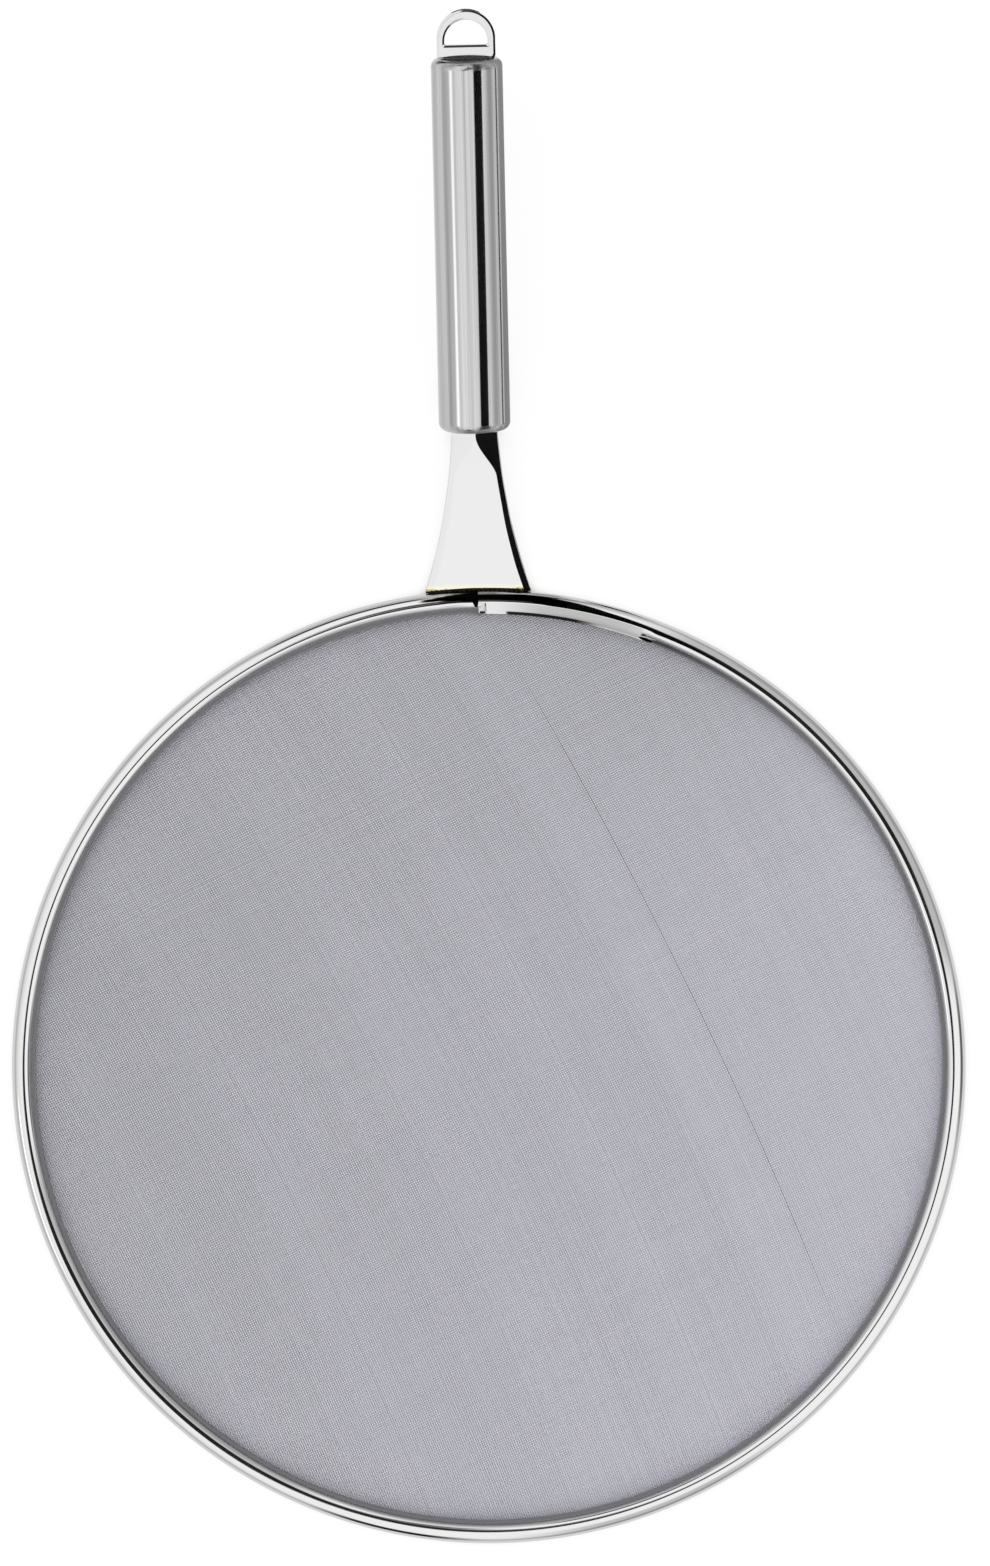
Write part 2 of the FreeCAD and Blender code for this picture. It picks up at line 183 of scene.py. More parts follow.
def add_node(tree, kind, settings=None, inputs=None):
    """Adds a node with its settings and its inputs."""
    node = tree.nodes.new("ShaderNode" + kind)
    for name, value in (settings or {}).items():
        setattr(node, name, value)
    feed(tree, node, inputs or {})
    return node


def new_material(name):
    """An empty material with its Principled shader, ready for nodes."""
    material = bpy.data.materials.new(name)
    material.use_nodes = True
    print("material:", name)
    return material, material.node_tree, material.node_tree.nodes["Principled BSDF"]


STEEL = "CECECE"
print("polished steel in linear light:", [round(value, 3) for value in linear(STEEL)])

# %% [markdown]
# ## Polished stainless steel
#
# The rim, the neck and the eye are stainless steel, buffed to a mirror. What the eye sees is nearly
# all reflection: clean white and hard black, with a breath of blur. The blur isn't even, because
# hands and cloths leave faint smears, so a slow noise moves the roughness a little. Buffing also
# leaves hair lines, which a fine noise gives as a very weak bump.

# %% Polished stainless steel
BUFFED = 0.07  # the roughness that buffing leaves
SMEAR_MM = 18.0
SMEAR_SPREAD = (0.6, 1.5)  # how much the smears lower and raise it
HAIRLINE_MM = 0.6  # real hair lines are far finer: this is as fine as shows
HAIRLINE_DEPTH_MM = 0.05
HAIRLINE_STRENGTH = 0.02


def polished_stainless(name, roughness, colour):
    """Buffed stainless steel, with faint smears and hair lines."""
    material, tree, shader = new_material(name)
    where = add_node(tree, "TexCoord").outputs["Object"]
    smear = add_node(tree, "TexNoise", inputs={
        "Vector": where, "Scale": 1 / (SMEAR_MM * MM), "Detail": 3.0})
    blur = add_node(tree, "MapRange", inputs={
        "Value": smear, "To Min": roughness * SMEAR_SPREAD[0], "To Max": roughness * SMEAR_SPREAD[1]})
    hairs = add_node(tree, "TexNoise", inputs={
        "Vector": where, "Scale": 1 / (HAIRLINE_MM * MM), "Detail": 2.0})
    bump = add_node(tree, "Bump", inputs={
        "Height": hairs, "Strength": HAIRLINE_STRENGTH, "Distance": HAIRLINE_DEPTH_MM * MM})
    feed(tree, shader, {
        "Base Color": linear(colour), "Metallic": 1.0, "Roughness": blur, "Normal": bump})
    return material, tree, shader


EYE_GREY = "C8C8C8"
eye_steel = polished_stainless("buffed_stainless_eye", BUFFED, EYE_GREY)[0]

# %% [markdown]
# ## The rim
#
# The rim is a strip of steel, rolled over a core wire until its two lips pinch the gauze. Its section
# has an outer bead, an inner flank that falls to the lip, and the lip itself. A torus with a bevelled
# lip would do for most of the way round, but the strip's two ends meet under the neck, where one laps
# over the other. There the section changes along the way: the upper end is pressed into one plain
# slope by the closing tool, and the lower end is squeezed to fit under it. So the rim is a skin whose
# section depends on how far round it is.

# %% The rim's section
BEAD_WIDTH = 3.6
CREST_RADIUS = RIM_RADIUS - BEAD_WIDTH
FLANK_WIDTH = 2.05
FLANK_DROP = 1.95
LIP_EXTRA = 1.3  # the section is this much wider than it is high
LIP_EDGE = RIM_RADIUS - RIM_HEIGHT - LIP_EXTRA
LIP_ROUND = 0.25
CREST_FLAT = 0.1
BEAD_POINTS, LIP_POINTS, EDGE_POINTS = 16, 7, 4


def arc(centre, radii, start, end, count):
    """Points on an arc of an ellipse, from one angle in degrees to another."""
    turn = np.radians(np.linspace(start, end, count))
    x = centre[0] + radii[0] * np.cos(turn)
    y = centre[1] + radii[1] * np.sin(turn)
    return np.stack([x, y], axis=-1)


def line(start, end, count):
    """Points on a straight line, without its last one."""
    share = np.linspace(0, 1, count + 1)[:-1, None]
    return np.array(start) + share * (np.array(end) - np.array(start))


def rim_section(outer, height, lip_edge, pressed):
    """The closed section, as radius and height. Pressed goes from 0, rolled, to 1, pressed flat."""
    lip_top = height - FLANK_DROP
    lip_start = (lip_edge + LIP_ROUND, lip_top)
    bead_radii = (outer - CREST_RADIUS, height - RIM_MIDDLE)
    bead = arc((CREST_RADIUS, RIM_MIDDLE), bead_radii, 0, 88, BEAD_POINTS)
    rolled = np.concatenate([
        arc((CREST_RADIUS, lip_top), (FLANK_WIDTH, FLANK_DROP), 92, 180, BEAD_POINTS),
        line((CREST_RADIUS - FLANK_WIDTH, lip_top), lip_start, LIP_POINTS),
    ])
    flat = line((CREST_RADIUS - CREST_FLAT, height), lip_start, len(rolled))
    edge_middle = (lip_edge + LIP_ROUND, lip_top - LIP_ROUND)
    edge = arc(edge_middle, (LIP_ROUND, LIP_ROUND), 90, 180, EDGE_POINTS)
    upper = np.concatenate([bead, rolled + pressed * (flat - rolled), edge])
    lower = upper[:0:-1] * (1, -1) + (0, 2 * RIM_MIDDLE)
    return np.concatenate([upper, lower])


print(f"crest at {CREST_RADIUS:.1f} mm and lip at {LIP_EDGE:.1f} mm from the middle")

# %% Where the section changes
LAP_PRESSED, LAP_RUN_OUT = 49.0, 5.0  # the upper end is pressed this far, and runs out over this
LIP_SPREAD = 0.3  # pressing drives its lip inwards
LAP_NOTCH, EDGE_OF_NOTCH, NOTCH_DEPTH = 1.9, 0.3, 0.35  # a notch in that lip, at the seam
LAP_SQUEEZED, SQUEEZE_DONE, LAP_STEP = 12.0, 3.0, 0.3  # the lower end is squeezed before the seam
LIP_SLANT = 0.7  # and its lip slants inwards
LAP_TUCK = 1.0  # and it goes on under the upper end
FINE_STEP, MIDDLING_STEP, COARSE_STEP = 0.15, 0.25, 1.0

around = 2 * math.pi * CREST_RADIUS
notch_end = 4
run_out_start, run_out_end = LAP_PRESSED - 1, LAP_PRESSED + LAP_RUN_OUT + 2
squeeze_start = around - LAP_SQUEEZED - 2
stations = np.concatenate([
    np.arange(0, notch_end, FINE_STEP),
    np.arange(notch_end, run_out_start, COARSE_STEP),
    np.arange(run_out_start, run_out_end, MIDDLING_STEP),
    np.arange(run_out_end, squeeze_start, COARSE_STEP),
    np.arange(squeeze_start, around + LAP_TUCK, FINE_STEP),
])
print(f"{len(stations)} stations on {around:.0f} mm")

# %% Carry the section round


def ease(value, start, end):
    """Goes smoothly from 0 at start to 1 at end."""
    share = np.clip((value - start) / (end - start), 0, 1)
    return share * share * (3 - 2 * share)


def round_the_rim(section, turn):
    """A section as radius and height, set up at a turn clockwise from the handle."""
    radius, height = section.T
    return np.stack([radius * math.sin(turn), radius * math.cos(turn), height], axis=-1)


def rim_row(station):
    """The rim's section at a distance from the seam, measured clockwise as seen from above."""
    pressed = 1 - ease(station, LAP_PRESSED, LAP_PRESSED + LAP_RUN_OUT)
    squeezed = ease(station, around - LAP_SQUEEZED, around - SQUEEZE_DONE)
    notch = 1 - ease(station, LAP_NOTCH, LAP_NOTCH + EDGE_OF_NOTCH)
    slant = ease(station, around - SQUEEZE_DONE, around)
    section = rim_section(
        outer=RIM_RADIUS - LAP_STEP * squeezed,
        height=RIM_HEIGHT - LAP_STEP * squeezed,
        lip_edge=LIP_EDGE - LIP_SPREAD * pressed + NOTCH_DEPTH * notch - LIP_SLANT * slant,
        pressed=pressed,
    )
    return round_the_rim(section, station / CREST_RADIUS)


rim_points = np.array([rim_row(station) for station in stations])
rim = skin("rim", rim_points, lids=True)

# %% [markdown]
# ## The rim's finish
#
# The buffing wheel brightens the bead and the flank, but it can't get down to the lip beside the
# weave, which stays dull and dark. Along the pressed stretch the steel is a little duller, and greyer
# towards its lip as painted shade. Next to the neck the bead is painted nearly black, through brown
# and violet: a heat tint at its edge, and painted shade and dark reflection under the neck. Painted
# shadows lie black under the edge of the pressed stretch, in its notch, and as a nick where it ends.
# All of this depends on where a point lies on the strip, so it is kept as numbers on the mesh, and
# the material mixes by them.

# %% Where the rim is dull, and where it has painted shade
DULL_FROM, DULL_TO = -0.35, 0.45  # from the flank's foot, inwards
PRESSED_DULL_SHADE = 0.35  # the pressed stretch is partly duller and greyer, as painted shade, at these stations and depths
PRESSED_DULL_SHADE_STATIONS = (8, 30)
PRESSED_DULL_SHADE_DEPTHS = (5.0, 6.6)

along_rim = stations[:, None]
depth = RIM_RADIUS - np.hypot(rim_points[:, :, 0], rim_points[:, :, 1])
lip_depth = RIM_RADIUS - CREST_RADIUS + FLANK_WIDTH
dull_and_shade = ease(depth, lip_depth + DULL_FROM, lip_depth + DULL_TO)
dull_and_shade = dull_and_shade * ease(along_rim, LAP_PRESSED, LAP_PRESSED + LAP_RUN_OUT)
pressed_dull_shade = ease(along_rim, *PRESSED_DULL_SHADE_STATIONS) * ease(depth, *PRESSED_DULL_SHADE_DEPTHS)
dull_and_shade = np.maximum(dull_and_shade, PRESSED_DULL_SHADE * pressed_dull_shade * (along_rim < LAP_PRESSED))
print(f"dull on {np.mean(dull_and_shade > 0.5):.0%} of the points")

# %% Where the heat tint and the painted shade lie, next to the weld
# Painted shade and dark reflection under the neck, nearly black, with a heat tint at its edge.
WELD_TINT_SHADE_STATIONS = [-18.0, -8.0, -1.9, -1.1, -0.3, 0.0, 18.0, 26.0]  # from the seam, clockwise
WELD_TINT_SHADE_OUTER = [2.2, 1.3, 0.9, 0.9, 0.9, 1.4, 1.3, 2.2]  # from the outer wall
WELD_TINT_SHADE_INNER = [2.3, 2.9, 3.4, 5.0, 5.2, 3.0, 3.1, 3.1]
WELD_TINT_SHADE_BLEED, WELD_TINT_SHADE_FADE = 0.1, 0.25  # its edge is soft by this much, outwards and inwards


def span(value, rise, fall):
    """1 between two limits. It goes up over the first pair of values, and down over the second."""
    return ease(value, *rise) * (1 - ease(value, *fall))


from_seam = np.where(along_rim > around / 2, along_rim - around, along_rim)
near_weld = (from_seam > WELD_TINT_SHADE_STATIONS[0]) & (from_seam < WELD_TINT_SHADE_STATIONS[-1])
outer_limit = np.interp(from_seam, WELD_TINT_SHADE_STATIONS, WELD_TINT_SHADE_OUTER)
inner_limit = np.interp(from_seam, WELD_TINT_SHADE_STATIONS, WELD_TINT_SHADE_INNER)
tint_and_shade = near_weld * span(
    depth,
    (outer_limit - WELD_TINT_SHADE_BLEED, outer_limit + WELD_TINT_SHADE_FADE),
    (inner_limit - WELD_TINT_SHADE_FADE, inner_limit + WELD_TINT_SHADE_BLEED),
)
print(f"burnt on {np.mean(tint_and_shade > 0.5):.1%} of the points")

# %% Where painted shadows lie black
PAINTED_SHADOWS = [  # how black, where along the rim it starts and ends, and how far from the outer wall
    (0.45, (8.0, 9.0), (26.0, 38.0), (6.2, 6.45)),  # painted shadow of the gap under the pressed edge
    (1.0, (0.3, 0.5), (LAP_NOTCH - 0.2, LAP_NOTCH), (6.3, 6.5)),  # painted shade in the notch
]
# A painted shadow in the shape of a nick, where the pressed stretch ends. No nick is built.
NICK_PLACE, NICK_LENGTH, NICK_DEPTH, NICK_HALF_WIDTH = 51.0, 4.2, 6.5, 0.45
NICK_FADE, NICK_BLEED = 0.1, 0.05

blacks = [tint_and_shade]
for share, starts, ends, depths in PAINTED_SHADOWS:
    blacks.append(share * span(along_rim, starts, ends) * ease(depth, *depths))
from_nick = 2 * (along_rim - NICK_PLACE) / NICK_LENGTH
nick_reach = NICK_HALF_WIDTH * np.sqrt(np.clip(1 - from_nick**2, 0, 1))
nick_shadow = 1 - ease(np.abs(depth - NICK_DEPTH), nick_reach - NICK_FADE, nick_reach + NICK_BLEED)
blacks.append(nick_shadow * (nick_reach > 0))
black = np.maximum.reduce(blacks) * (rim_points[:, :, 2] > RIM_MIDDLE)
for name, values in (("dull_and_shade", dull_and_shade), ("tint_and_shade", black)):
    rim.data.attributes.new(name, "FLOAT", "POINT").data.foreach_set("value", values.ravel())
print(f"black on {np.mean(black > 0.5):.1%} of the points")

# %% Polished steel with a dull lip, a heat tint and painted shade
LIP_GREY = "838285"
LIP_ROUGHNESS = 0.36
# From no change, through a pale heat tint, to the near black of painted shade.
TINT_AND_SHADE = [(0.0, "FFFFFF"), (0.15, "AFA698"), (0.35, "3A3134"), (0.6, "100D0C"), (1.0, "090808")]


def set_stops(ramp_node, stops):
    """Gives a colour ramp its stops: pairs of a position and a colour, in hex or as linear RGBA."""
    elements = ramp_node.color_ramp.elements
    while len(elements) < len(stops):
        elements.new(0.5)
    for element, (position, colour) in zip(elements, stops):
        element.position = position
        element.color = linear(colour) if isinstance(colour, str) else colour


def dress(piece, material, slot, *nodes):
    """Gives a piece its material, and hides the CAD nodes that it stands for. The slot is not used.
    """
    piece.data.materials.clear()
    piece.data.materials.append(material)
    if nodes:
        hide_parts(*nodes)


rim_steel, tree, shader = polished_stainless("buffed_stainless_rim", BUFFED, STEEL)
buffed = shader.inputs["Roughness"].links[0].from_socket
dull_and_shade_share = add_node(tree, "Attribute", {"attribute_name": "dull_and_shade"}).outputs["Fac"]
# The second number holds the heat tint, the painted shade and the painted shadows.
tint_and_shade_share = add_node(tree, "Attribute", {"attribute_name": "tint_and_shade"}).outputs["Fac"]
bare = add_node(tree, "ValToRGB", inputs={"Fac": dull_and_shade_share})
set_stops(bare, [(0.0, STEEL), (1.0, LIP_GREY)])
tint_and_shade_ramp = add_node(tree, "ValToRGB", inputs={"Fac": tint_and_shade_share})
set_stops(tint_and_shade_ramp, TINT_AND_SHADE)
tinted_and_shaded = add_node(tree, "VectorMath", {"operation": "MULTIPLY"}, {0: bare, 1: tint_and_shade_ramp})
blurred = add_node(tree, "MapRange", inputs={
    "Value": dull_and_shade_share, "To Min": buffed, "To Max": LIP_ROUGHNESS})
feed(tree, shader, {"Base Color": tinted_and_shaded, "Roughness": blurred})
dress(rim, rim_steel, "polished_steel", "rim_band")

# %% [markdown]
# ## The wire gauze
#
# The gauze is a plain weave of fine steel wire: every wire goes over one and under the next. A flat
# disc with a pattern of holes would look right only from straight above, so each wire is a real tube
# that rises and falls from crossing to crossing. The wires lie about 0.65 mm apart. The warp runs
# aslant to the handle, in a slight bow. No weave is quite even, so the spacing wanders a little and
# each wire has its own tone, which gives the faint streaks along the warp.

# %% Where the wires run
WIRE_PITCH = 0.65
WARP_SLANT = math.radians(24.6)
GAUZE_PINCH = 2.6  # how far the sheet goes in between the lips
GAUZE_RADIUS = LIP_EDGE + GAUZE_PINCH
BOW, BOW_MIDDLE, BOW_HALF = 3.0, 7.0, 91.0  # how far, where along the warp, and half of its length
WANDER = 0.035  # of a pitch

chance = np.random.default_rng(7)
warp_way = np.array([math.sin(WARP_SLANT), -math.cos(WARP_SLANT)])
weft_way = np.array([math.cos(WARP_SLANT), math.sin(WARP_SLANT)])
wire_count = int(2 * GAUZE_RADIUS / WIRE_PITCH)
even = (np.arange(wire_count) - (wire_count - 1) / 2) * WIRE_PITCH


def bow(along):
    """How far the warp has bowed to the side, at a place along it."""
    return BOW * (1 - ((along - BOW_MIDDLE) / BOW_HALF) ** 2)


def wandering(places):
    """The same places with a little wander, as a loom leaves it."""
    return places + chance.normal(0, WANDER * WIRE_PITCH, len(places))


warp_places = wandering(even)
weft_places = wandering(even)
print(f"{wire_count} warp and {wire_count} weft wires")

# %% A tone for each wire
MIDDLE_TONE = 0.5
DARKEST_TONE = 0.2  # of all wires but one
STRAY_TONE = 0.06  # of one dark wire, seen right of the middle
STRAY_WIRE_OFFSET = 59.6
DRIFT_REACH, DRIFT_STEPS = 150, 31


def tones(places, spread, trend):
    """A tone for each wire: a trend and a slow drift across the cloth, and a change of its own."""
    steps = np.linspace(-DRIFT_REACH, DRIFT_REACH, DRIFT_STEPS)
    drift = np.interp(places, steps, chance.normal(0, 1, DRIFT_STEPS))
    own = chance.normal(0, 1, len(places))
    values = MIDDLE_TONE + trend * places / GAUZE_RADIUS + spread * (drift + own)
    return np.maximum(values, DARKEST_TONE)


# Both trends make the gauze lighter towards the right of the disc, and darker towards the left.
warp_tones = tones(warp_places, spread=0.06, trend=0.29)
warp_tones[np.argmin(np.abs(warp_places - STRAY_WIRE_OFFSET))] = STRAY_TONE
weft_tones = tones(weft_places, spread=0.02, trend=0.32)
print(f"warp tones from {warp_tones.min():.2f} to {warp_tones.max():.2f}")

# %% Many wires as one mesh
WIRE_DIAMETER = 0.24
WIRE_SIDES = 4


def wire_tube(middle, side):
    """The skin of one wire: a ring of points round each point of its middle line."""
    ring = np.radians(np.arange(WIRE_SIDES) * 360 / WIRE_SIDES)[None, :, None]
    across = np.array([side[0], side[1], 0]) * WIRE_DIAMETER / 2
    up = np.array([0, 0, WIRE_DIAMETER / 2])
    return (middle[:, None] + np.cos(ring) * across + np.sin(ring) * up).reshape(-1, 3)


def wire_mesh(name, points, faces, tone_values):
    """Many tubes as one mesh, with each wire's tone and a flat map of the whole disc."""
    mesh = bpy.data.meshes.new(name)
    mesh.vertices.add(len(points))
    mesh.vertices.foreach_set("co", (points * MM).ravel())
    mesh.loops.add(faces.size)
    mesh.loops.foreach_set("vertex_index", faces.ravel())
    mesh.polygons.add(len(faces))
    mesh.polygons.foreach_set("loop_start", np.arange(0, faces.size, 4))
    mesh.update(calc_edges=True)
    mesh.shade_smooth()
    mesh.attributes.new("tone", "FLOAT", "POINT").data.foreach_set("value", tone_values)
    flat_map = mesh.uv_layers.new(name="OFBake")
    spread = points[faces.ravel()][:, :2] / (2 * RIM_RADIUS) + 0.5
    flat_map.data.foreach_set("uv", spread.ravel())
    print(f"{name}: {len(faces)} faces")
    return place(name, mesh)


# %% Weave the wires
CRIMP = 0.078
STRAY_FADE = (80, 110)  # how far from the bow's middle the dark wire fades
PIECES_EACH_WAY = 9  # the weave is cut into bands, to keep each mesh light


def weave(name, wires, crossings, way, side, phase, bowed):
    """A piece of parallel wires. Way runs along them and side across them, towards growing places."""
    points, faces, tone_values, count = [], [], [], 0
    for wire, place_across, tone in wires:
        reach = math.sqrt(max(GAUZE_RADIUS**2 - place_across**2, 0))
        crossed = crossings if bowed else crossings + bow(place_across)
        inside = np.abs(crossed) < reach - WIRE_PITCH / 2
        if np.count_nonzero(inside) < 2:
            continue
        along = np.concatenate([[-reach], crossed[inside], [reach]])
        over_or_under = (-1.0) ** (np.flatnonzero(inside) + wire + phase)
        rise = np.concatenate([[0], CRIMP * over_or_under, [0]])
        shifted = place_across + (bow(along) if bowed else 0)
        flat = np.outer(along, way) + np.outer(shifted, side)
        middle = np.column_stack([flat, RIM_MIDDLE + rise])
        faces.append(grid_faces(len(along), WIRE_SIDES, False, True) + count)
        points.append(wire_tube(middle, side))
        fading = ease(np.abs(along - BOW_MIDDLE), *STRAY_FADE) if tone == STRAY_TONE else 0 * along
        tone_values.append(np.repeat(tone + (MIDDLE_TONE - tone) * fading, WIRE_SIDES))
        count += len(along) * WIRE_SIDES
    return wire_mesh(name, np.concatenate(points), np.concatenate(faces), np.concatenate(tone_values))


warp = list(zip(range(wire_count), warp_places, warp_tones))
weft = list(zip(range(wire_count), weft_places, weft_tones))
cuts = np.linspace(0, wire_count, PIECES_EACH_WAY + 1).astype(int)
gauze = []
for number, (first, last) in enumerate(zip(cuts[:-1], cuts[1:]), 1):
    band = warp[first:last]
    gauze.append(weave(f"gauze_warp_{number}", band, weft_places, warp_way, weft_way, 0, True))
    band = weft[first:last]
    gauze.append(weave(f"gauze_weft_{number}", band, warp_places, weft_way, warp_way, 1, False))

# %% [markdown]
# ## Drawn stainless wire
#
# The wire is drawn stainless steel, left as it comes off the loom: grey rather than bright, because
# its fine skin scatters the light. Each wire's own tone mixes a darker and a paler grey, with a hint
# of violet.

# %% Drawn stainless wire
WIRE_GREYS = [(0.0, "4A494F"), (0.1, "91909D"), (0.5, "B7B6C5"), (1.0, "DCDBEA")]
WIRE_ROUGHNESS = 0.42
gauze_wire, tree, shader = new_material("drawn_stainless_wire")
tone = add_node(tree, "Attribute", {"attribute_name": "tone"})
greys = add_node(tree, "ValToRGB", inputs={"Fac": tone.outputs["Fac"]})
set_stops(greys, WIRE_GREYS)
feed(tree, shader, {"Base Color": greys, "Metallic": 1.0, "Roughness": WIRE_ROUGHNESS})
for piece in gauze:
    dress(piece, gauze_wire, "wire_gauze", "gauze_disc")
print("on", len(gauze), "pieces of gauze")

# %% [markdown]
# ## The neck
#
# The neck is a forged piece that flares from the handle to the rim. Its top has a flat face in the
# middle, with a shallow bevel down to each edge. At the handle the two bevels meet in a ridge, and
# the flat face opens out from there. That bevel is what draws the neck: it catches another part of
# the room than the flat does. A subdivision surface would round the bevel off, so the section is
# written out point by point, with close points on each side of the bevel's edge to keep it crisp.

# %% The neck's section along its length
NECK_STATIONS = [-1.5, 0.0, 11.0, 28.0, 47.5]
NECK_HALF_HEIGHTS = [4.8, 4.8, 3.5, 2.1, 1.5]
WIDTH_STATIONS = [-1.5, 0.0, 7.4, 14.0, 20.9, 28.0, 34.7, 40.4, 47.5]
NECK_HALF_WIDTHS = [6.8, 6.8, 7.3, 8.0, 9.05, 10.25, 11.8, 13.3, 15.5]
BEVEL_SLOPE = math.tan(math.radians(16))
BEVEL_WIDTH, BEVEL_GAIN, BEVEL_GROWS = 1.75, 0.35, 20  # it gains some width from here to the root
RIDGE = 0.15  # half of the flat's width at the handle
FLAT_OPENS = (1.0, 13.5)
ROOT_STARTS = 38  # from here on the neck bends to the rim's round wall
CRISP = 0.12
NECK_EDGE = 0.35
NECK_UNDER_EDGE = 0.7
ROOT_GAP = 0.8  # the weld fills it
WELD_RADIUS = RIM_RADIUS + ROOT_GAP
NECK_ROWS = 180


def smooth_table(station, stations, values):
    """A smooth curve through a few sizes along the neck."""
    slopes = np.gradient(values, stations)
    i = int(np.clip(np.searchsorted(stations, station) - 1, 0, len(stations) - 2))
    step = stations[i + 1] - stations[i]
    t = (station - stations[i]) / step
    return (
        (2 * t**3 - 3 * t**2 + 1) * values[i]
        + (t**3 - 2 * t**2 + t) * step * slopes[i]
        + (3 * t**2 - 2 * t**3) * values[i + 1]
        + (t**3 - t**2) * step * slopes[i + 1]
    )


print(f"neck {2 * NECK_HALF_WIDTHS[0]:.1f} to {2 * NECK_HALF_WIDTHS[-1]:.1f} mm wide")

# %% Build the neck


def neck_row(station):
    """The neck's closed section at a distance from the handle, in the handle's frame."""
    half_width = smooth_table(station, WIDTH_STATIONS, NECK_HALF_WIDTHS)
    half_height = smooth_table(station, NECK_STATIONS, NECK_HALF_HEIGHTS)
    bevel = BEVEL_WIDTH + BEVEL_GAIN * ease(station, BEVEL_GROWS, NECK_LENGTH)
    flat = RIDGE + (half_width - bevel - RIDGE) * ease(station, *FLAT_OPENS)
    shoulder = half_width - NECK_EDGE
    drop = (shoulder - flat) * BEVEL_SLOPE
    edge_middle = (shoulder, half_height - drop - NECK_EDGE)
    under_middle = (half_width - NECK_UNDER_EDGE, NECK_UNDER_EDGE - half_height)
    bevel_start = (flat + CRISP, half_height - CRISP * BEVEL_SLOPE)
    right = np.concatenate([
        line((0, half_height), (flat - CRISP, half_height), 6),
        line((flat - CRISP, half_height), (flat, half_height), 1),
        line((flat, half_height), bevel_start, 1),
        line(bevel_start, (shoulder, half_height - drop), 8),
        arc(edge_middle, (NECK_EDGE, NECK_EDGE), 74, 0, 6),
        arc(under_middle, (NECK_UNDER_EDGE, NECK_UNDER_EDGE), 0, -90, 7),
        line((half_width - 2 * NECK_UNDER_EDGE, -half_height), (0, -half_height), 6),
    ])
    left = right[:0:-1] * (-1, 1)
    section = np.concatenate([right, left])
    # The root follows the rim's round wall.
    wall = (np.sqrt(WELD_RADIUS**2 - section[:, 0]**2) - RIM_RADIUS) / math.cos(HANDLE_SLOPE)
    along = NECK_LENGTH - station + wall * ease(station, ROOT_STARTS, NECK_LENGTH)
    return np.stack([section[:, 0], along, section[:, 1]], axis=-1)


neck_stations = np.linspace(NECK_STATIONS[0], NECK_LENGTH, NECK_ROWS)
neck_points = np.array([neck_row(station) for station in neck_stations])
neck = skin("neck", neck_points, lids=True, matrix=HANDLE_FRAME)

# %% [markdown]
# ## Heat tint at the weld
#
# Where the neck was welded, the heat left a straw yellow tint on the steel, a thin oxide that buffing
# didn't reach. It fades out within two millimetres. The same polished steel is used, and the distance
# from the rim, which is the y of the handle's own frame, picks the tint.

# %% Polished steel with a heat tint
TINT_FROM_MM, TINT_TO_MM = 0.4, 2.0
TINT_RAGGED_MM, TINT_PATCH_MM = 0.8, 3
STRAW = [(0.0, "A89E80"), (0.25, "DBD9BF"), (0.7, "D6D4C6"), (1.0, STEEL)]
NECK_BUFFED = 0.08
neck_steel, tree, shader = polished_stainless("buffed_stainless_heat_tint", NECK_BUFFED, STEEL)
where = add_node(tree, "TexCoord").outputs["Object"]
from_rim = add_node(tree, "SeparateXYZ", inputs={0: where})
patchy = add_node(tree, "TexNoise", inputs={
    "Vector": where, "Scale": 1 / (TINT_PATCH_MM * MM), "Detail": 2.0})
ragged = add_node(tree, "MapRange", inputs={
    "Value": patchy, "To Min": -TINT_RAGGED_MM * MM, "To Max": TINT_RAGGED_MM * MM})
reach = add_node(tree, "Math", {"operation": "ADD"}, {0: from_rim.outputs["Y"], 1: ragged})
share = add_node(tree, "MapRange", inputs={
    "Value": reach, "From Min": TINT_FROM_MM * MM, "From Max": TINT_TO_MM * MM})
tint = add_node(tree, "ValToRGB", inputs={"Fac": share})
set_stops(tint, STRAW)
feed(tree, shader, {"Base Color": tint})
dress(neck, neck_steel, "polished_steel", "neck")

# %% [markdown]
# ## The weld
#
# The weld is a thin bead that lies in the corner between the rim's bead and the neck's root. A welder
# lays it in small steps, which leaves ripples, so its thickness swells and shrinks along the way and
# tapers at both ends. The metal is dull and browned by the heat, and painted nearly black as shade in
# that corner.

# %% The weld bead
WELD_HALF_SPAN = 15.4
WELD_ROWS, WELD_SIDES = 160, 16
WELD_THICKNESS, WELD_FLATNESS = 0.85, 0.95
WELD_PLACE = (RIM_RADIUS + 0.35, RIM_MIDDLE + 0.75)
RIPPLE_MM, RIPPLE_SHARE = 1.4, 0.10
WELD_TAPER_MM, WELD_THIN_END = 2.5, 0.35
weld_rows = []
for across in np.linspace(-WELD_HALF_SPAN, WELD_HALF_SPAN, WELD_ROWS):
    ripple = 1 + RIPPLE_SHARE * math.sin(2 * math.pi * across / RIPPLE_MM)
    full = float(ease(WELD_HALF_SPAN - abs(across), 0, WELD_TAPER_MM))
    radius = WELD_THICKNESS * ripple * (WELD_THIN_END + (1 - WELD_THIN_END) * full)
    last_turn = 360 - 360 / WELD_SIDES
    bead = arc(WELD_PLACE, (radius, radius * WELD_FLATNESS), 0, last_turn, WELD_SIDES)
    weld_rows.append(round_the_rim(bead, across / RIM_RADIUS))
weld = skin("neck_weld_bead", np.array(weld_rows), lids=True)

# %% Browned weld metal, with painted shade


